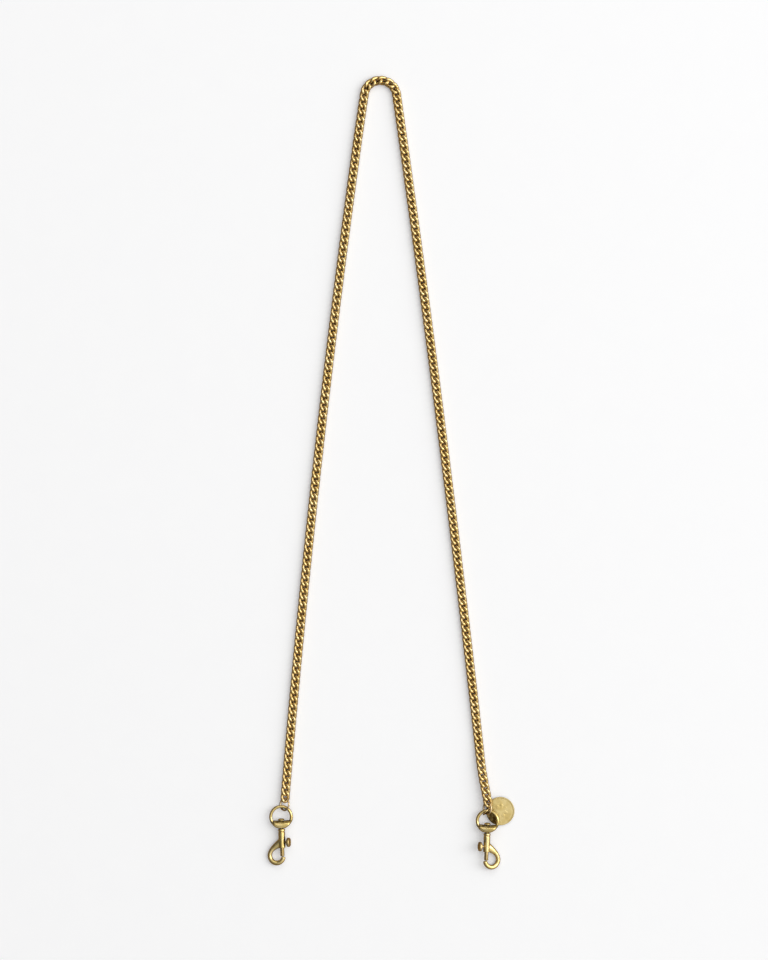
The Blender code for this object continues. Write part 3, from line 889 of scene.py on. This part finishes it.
def make_hook_body(side):
    swivel = swivel_frame(side)
    low = -BARREL_END - MM
    bore = turned([(0.0, low), (BORE_RADIUS, low), (BORE_RADIUS, -BORE_TOP), (0.0, -BORE_TOP)], 48)
    base = helper("hook_body", turned(stud_profile(), 56))
    combined(base, [
        ("UNION", helper("hook", hook_shape())),
        ("DIFFERENCE", helper("bore", bore)),
        ("DIFFERENCE", helper("slot", slot_shape(side, swivel))),
    ])
    mesh = cast(base, CAST_VOXEL, CAST_SMOOTHING)
    heights = np.array([vertex.co.y for vertex in mesh.vertices])
    # Painted shade on the stud head inside the eye's window.
    add_values(mesh, "painted_shade", 0.45 * np.clip((heights + EYE_FLOOR + MM) / MM, 0.0, 1.0))
    name = f"{side}_hook_body"
    add_piece(name + "_casting", mesh, CAST_BRASS, f"{side}_hook", [name], swivel)


def make_plunger(side):
    """The bolt, as long as the CAD's, with a rounded tip."""
    swivel = swivel_frame(side)
    name = f"{side}_plunger"
    heights = heights_along(name, swivel)
    tip, top = heights.min(), heights.max()
    profile = rounded([
        (0.0, tip),
        (PLUNGER_RADIUS * 0.8, tip),
        (PLUNGER_RADIUS, tip + 0.35 * MM),
        (PLUNGER_RADIUS, top - 0.2 * MM),
        (PLUNGER_RADIUS * 0.9, top),
        (0.0, top),
    ], 0.1 * MM)
    mesh = make_mesh(name, *turned(profile, 40))
    mesh.set_sharp_from_angle(angle=math.radians(40.0))
    add_piece(name + "_bolt", mesh, PLUNGER_BRASS, f"{side}_bolt", [name], swivel)


def knob_profile(inner, over):
    """Half the outline of the knob, from its pinned end at inner to its face at over."""
    under = over - KNOB_THICKNESS
    shank_start = PLUNGER_RADIUS + SLIDE_GAP
    hub_low = under - KNOB_HUB_HEIGHT
    rim = over - 0.05 * MM
    return rounded([
        (0.0, inner),
        (PIN_RADIUS, inner),
        (PIN_RADIUS, shank_start),
        (SHANK_RADIUS, shank_start),
        (SHANK_RADIUS, hub_low),
        (KNOB_HUB_RADIUS * 0.8, hub_low),
        (KNOB_HUB_RADIUS, hub_low + KNOB_HUB_HEIGHT * 0.4),
        (KNOB_HUB_RADIUS, under),
        (KNOB_RADIUS * 0.9, under),
        (KNOB_RADIUS, under + 0.4 * MM),
        (KNOB_RADIUS, over - 0.45 * MM),
        (KNOB_RADIUS * 0.9, rim),
        (KNOB_RADIUS * 0.78, rim),
        (KNOB_RADIUS * 0.72, over - 0.25 * MM),
        (KNOB_RADIUS * 0.6, rim),
        (KNOB_RADIUS * 0.3, over + 0.1 * MM),
        (0.0, over + KNOB_DOME),
    ], 0.12 * MM)


def make_knob(side):
    """The thumb knob: a domed disc with a knurled rim and a turned ring on its face, on a short shank."""
    place = knob_frame(side)
    name = f"{side}_thumb_knob"
    heights = heights_along(name, place)
    points, faces = turned(knob_profile(heights.min(), heights.max() - KNOB_DOME), 96)
    radii = np.hypot(points[:, 0], points[:, 2])
    angles = np.arctan2(points[:, 2], points[:, 0])
    on_rim = radii > KNOB_RADIUS * 0.97
    knurl = 1.0 - KNURL_DEPTH * on_rim * (0.5 + 0.5 * np.cos(KNURLS * angles))
    points[:, 0] *= knurl
    points[:, 2] *= knurl
    mesh = make_mesh(name, points, faces)
    add_piece(name + "_disc", mesh, KNOB_BRASS, f"{side}_bolt", [name], place)


def make_spring(side):
    """The coil in the barrel, between its closed end and the plunger."""
    swivel = swivel_frame(side)
    name = f"{side}_plunger_spring"
    heights = heights_along(name, swivel)
    low, high = heights.min() + SPRING_WIRE / 2.0, heights.max() - SPRING_WIRE / 2.0
    stations = SPRING_TURNS * SPRING_STEPS
    spine = []
    for k in range(stations + 1):
        share = k / stations
        angle = 2.0 * math.pi * SPRING_TURNS * share
        height = low + share * (high - low)
        spine.append((SPRING_RADIUS * math.cos(angle), height, SPRING_RADIUS * math.sin(angle)))
    sizes = [(SPRING_WIRE / 2.0, SPRING_WIRE / 2.0)] * len(spine)
    mesh = make_mesh(name, *tube(spine, [(0.0, 1.0, 0.0)] * len(spine), sizes, 8, False))
    piece = add_piece(name + "_coil", mesh, SPRING_STEEL, f"{side}_hook", [name], swivel)
    slide = f"a_{side}_bolt_slide"
    keep = 1.0 - JOINTS[slide]["range_m"][1] / (high - low + SPRING_WIRE)
    keep = max(SPRING_SHORTEST, keep)
    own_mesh(piece)


# Rings and tag.


def ring_place(node):
    """The frame of a ring: Z square to it and X level."""
    centre, normal = flat_node(node)
    level = normal.cross(Vector((0.0, 0.0, 1.0))).normalized()
    return axes_frame(centre, level, normal.cross(level), normal)


def make_ring(name, wire, material, body, seam):
    """A ring of round wire, closed by a fine butt seam at the angle given in degrees."""
    place = ring_place(name)
    local = node_points(name) - np.array(place.translation)
    radius = np.linalg.norm(local, axis=1).max() - wire / 2.0
    seam_at = round(seam / 360.0 * RING_STATIONS)
    spine = []
    sizes = []
    for k in range(RING_STATIONS):
        angle = 2.0 * math.pi * k / RING_STATIONS
        spine.append((radius * math.cos(angle), radius * math.sin(angle), 0.0))
        half = wire / 2.0 * (0.9 if k == seam_at else 1.0)
        sizes.append((half, half))
    mesh = make_mesh(name, *tube(spine, [(0.0, 0.0, 1.0)] * RING_STATIONS, sizes, 20, True))
    add_values(mesh, "tone", np.full(len(mesh.vertices), 0.3))
    add_piece(name + "_wire", mesh, material, body, [name], place)


def tag_height(radius, angle, outer, half):
    """Height of the tag's face: a raised rim, a fine line inside it and a plain rosette."""
    height = half * 0.82
    height += smooth_step((radius - outer * 0.90) / (outer * 0.025)) * half * 0.35
    height += (1.0 - smooth_step(abs(radius - outer * 0.80) / (0.12 * MM))) * 0.05 * MM
    petal = outer * (0.26 + 0.26 * abs(math.cos(PETALS / 2.0 * angle)))
    height += smooth_step((petal - radius) / (0.35 * MM)) * 0.09 * MM
    return height


def edge_drop(radius, outer):
    """How far the tag's rounded edge falls below its face."""
    edge = max(0.0, (radius - outer + TAG_EDGE) / TAG_EDGE)
    return (1.0 - math.sqrt(max(0.0, 1.0 - edge * edge))) * TAG_EDGE


def tag_shape(outer, half):
    """Points and faces of the stamped disc, without its hole."""
    points = []
    for face in (1.0, -1.0):
        for k in range(TAG_RINGS):
            radius = outer * (k + 1) / TAG_RINGS
            for j in range(TAG_STEPS):
                angle = 2.0 * math.pi * j / TAG_STEPS
                height = tag_height(radius, angle, outer, half) - edge_drop(radius, outer)
                points.append((radius * math.cos(angle), radius * math.sin(angle), face * height))
    middle = len(points)
    for face in (1.0, -1.0):
        points.append((0.0, 0.0, face * tag_height(0.0, 0.0, outer, half)))
    under = TAG_RINGS * TAG_STEPS
    faces = grid_faces(TAG_RINGS, TAG_STEPS, False)
    faces += [tuple(reversed(f)) for f in grid_faces(TAG_RINGS, TAG_STEPS, False, under)]
    upper_edge, lower_edge = under - TAG_STEPS, 2 * under - TAG_STEPS
    for j in range(TAG_STEPS):
        beside = (j + 1) % TAG_STEPS
        faces.append((upper_edge + j, upper_edge + beside, lower_edge + beside, lower_edge + j))
        faces.append((middle, beside, j))
        faces.append((middle + 1, under + j, under + beside))
    points = np.array(points)
    return points, outward_faces(points, faces)


def tag_hole(distance, half):
    """Points and faces of the cutter for the hole, square to the disc."""
    profile = [(0.0, -2 * half), (TAG_HOLE_RADIUS, -2 * half), (TAG_HOLE_RADIUS, 2 * half), (0.0, 2 * half)]
    points, faces = turned(profile, 40)
    points = np.stack([points[:, 0] + distance, -points[:, 2], points[:, 1]], axis=1)
    return points, outward_faces(points, faces)


def add_eye_shadow(mesh, eye):
    """Marks the part of the tag that lies under the eye's window, where a painted shadow darkens it."""
    values = []
    for vertex in mesh.vertices:
        distance = (vertex.co - eye).to_2d().length
        values.append(1.0 - smooth_step((distance - EYE_SHADOW_RADIUS) / EYE_SHADOW_FADE))
    add_values(mesh, "painted_shade", values)


def make_tag():
    """A stamped disc: rim, rosette and a hole near its edge, on the side of the tag ring."""
    node = "tag_disc"
    centre, normal = flat_node(node)
    toward = joint_point("tag_swing") - centre
    toward = (toward - normal * toward.dot(normal)).normalized()
    place = axes_frame(centre, toward, normal.cross(toward), normal)
    local = (node_points(node) - np.array(centre)) @ np.array(place.to_3x3())
    outer = np.hypot(local[:, 0], local[:, 1]).max()
    half = local[:, 2].max()
    web = (joint_point("tag_swing") - centre).length
    hole_at = web - TAG_HOLE_RADIUS - (outer - web)
    base = helper("tag", tag_shape(outer, half))
    combined(base, [("DIFFERENCE", helper("hole", tag_hole(hole_at, half)))])
    mesh = base.data
    bpy.data.objects.remove(base)
    mesh.shade_smooth()
    mesh.set_sharp_from_angle(angle=math.radians(45.0))
    # Painted shadow of the eye over the tag.
    add_eye_shadow(mesh, place.inverted() @ eye_frame("right").translation)
    add_piece("tag_disc_stamped", mesh, TAG_BRASS, "tag", [node], place)


# Floor, light and camera.


def make_floor():
    """A pale sheet that glows a little, with painted shadow in the gaps under the chain and painted dark
    warm shade where metal mirrors it.
    """
    half = FLOOR_SIZE / 2.0
    height = cad_low.z - FLOOR_GAP
    points = [(-half, -half, height), (half, -half, height), (half, half, height), (-half, half, height)]
    floor = bpy.data.objects.new("floor", make_mesh("floor", points, [(0, 1, 2, 3)]))
    bpy.context.scene.collection.objects.link(floor)
    nodes = Nodes("pale_floor")
    grain = nodes.noise(60.0, 3.0)
    paper = nodes.blend(grain, (0.80, 0.80, 0.805, 1.0), (0.82, 0.82, 0.82, 1.0))
    # Painted shadow: the floor turns dark brown in the gaps under the chain.
    pocket = nodes.span(nodes.hollows(5.0 * MM), 0.60, 0.90)
    seen = nodes.blend(pocket, paper, (0.16, 0.10, 0.04, 1.0))
    mirrored = nodes.add("ShaderNodeLightPath").outputs["Is Glossy Ray"]
    # Painted shade in reflections: metal mirrors the floor as dark warm brown.
    colour = nodes.blend(mirrored, seen, (0.30, 0.20, 0.09, 1.0))
    rough = nodes.span(grain, 0.3, 0.7, 0.75, 0.85)
    nodes.plug(nodes.shader.inputs["Emission Color"], seen)
    glow = nodes.span(mirrored, 0.0, 1.0, FLOOR_GLOW, 0.0)
    nodes.plug(nodes.shader.inputs["Emission Strength"], glow)
    nodes.finish(colour, rough, nodes.bump(nodes.noise(400.0, 3.0), 0.02 * MM), 0.0)
    floor.data.materials.append(nodes.material)


def add_light(name, location, size, power):
    """A softbox that faces the middle of the strap."""
    light = bpy.data.lights.new(name, "AREA")
    light.shape = "RECTANGLE"
    light.size, light.size_y = size
    light.energy = power
    lamp = bpy.data.objects.new(name, light)
    bpy.context.scene.collection.objects.link(lamp)
    lamp.location = location
    lamp.rotation_mode = "QUATERNION"
    lamp.rotation_quaternion = (-Vector(location)).to_track_quat("-Z", "Y")


def make_sky():
    """A white sky, brightest along SKY_TILT and dim on the side away from it."""
    world = bpy.data.worlds.new("studio")
    bpy.context.scene.world = world
    world.use_nodes = True
    tree = world.node_tree
    place = tree.nodes.new("ShaderNodeTexCoord").outputs["Generated"]
    tilt = tree.nodes.new("ShaderNodeVectorMath")
    tilt.operation = "DOT_PRODUCT"
    tilt.inputs[1].default_value = SKY_TILT
    tree.links.new(place, tilt.inputs[0])
    ramp = tree.nodes.new("ShaderNodeMapRange")
    tree.links.new(tilt.outputs["Value"], ramp.inputs["Value"])
    ramp.inputs["To Min"].default_value = SKY_LOW
    ramp.inputs["To Max"].default_value = SKY_HIGH
    background = tree.nodes["Background"]
    background.inputs["Color"].default_value = (1.0, 1.0, 1.0, 1.0)
    tree.links.new(ramp.outputs["Result"], background.inputs["Strength"])


def make_lights():
    add_light("right_softbox", (2.4, 0.3, 2.4), (1.6, 3.0), 40.0)
    add_light("top_softbox", (-0.4, 2.8, 2.6), (2.6, 1.0), 14.0)
    make_sky()


def make_camera():
    camera = bpy.data.cameras.new("camera")
    camera.lens = camera.sensor_width * CAMERA_HEIGHT / FIELD_HEIGHT
    camera.clip_end = 20.0
    holder = bpy.data.objects.new("camera", camera)
    bpy.context.scene.collection.objects.link(holder)
    holder.location = (CAMERA_CENTRE.x, CAMERA_CENTRE.y, CAMERA_HEIGHT)
    bpy.context.scene.camera = holder
    bpy.context.scene.view_settings.view_transform = "Standard"


make_chain()
for side in SIDES:
    make_eye(side)
    make_hook_body(side)
    make_plunger(side)
    make_knob(side)
    make_spring(side)
    make_ring(f"{side}_connector_ring", CONNECTOR_WIRE, RING_BRASS, f"{side}_connector", 70.0)
make_ring("tag_ring", TAG_RING_WIRE, CHAIN_BRASS, "tag_ring", 200.0)
make_tag()
make_floor()
make_lights()
make_camera()
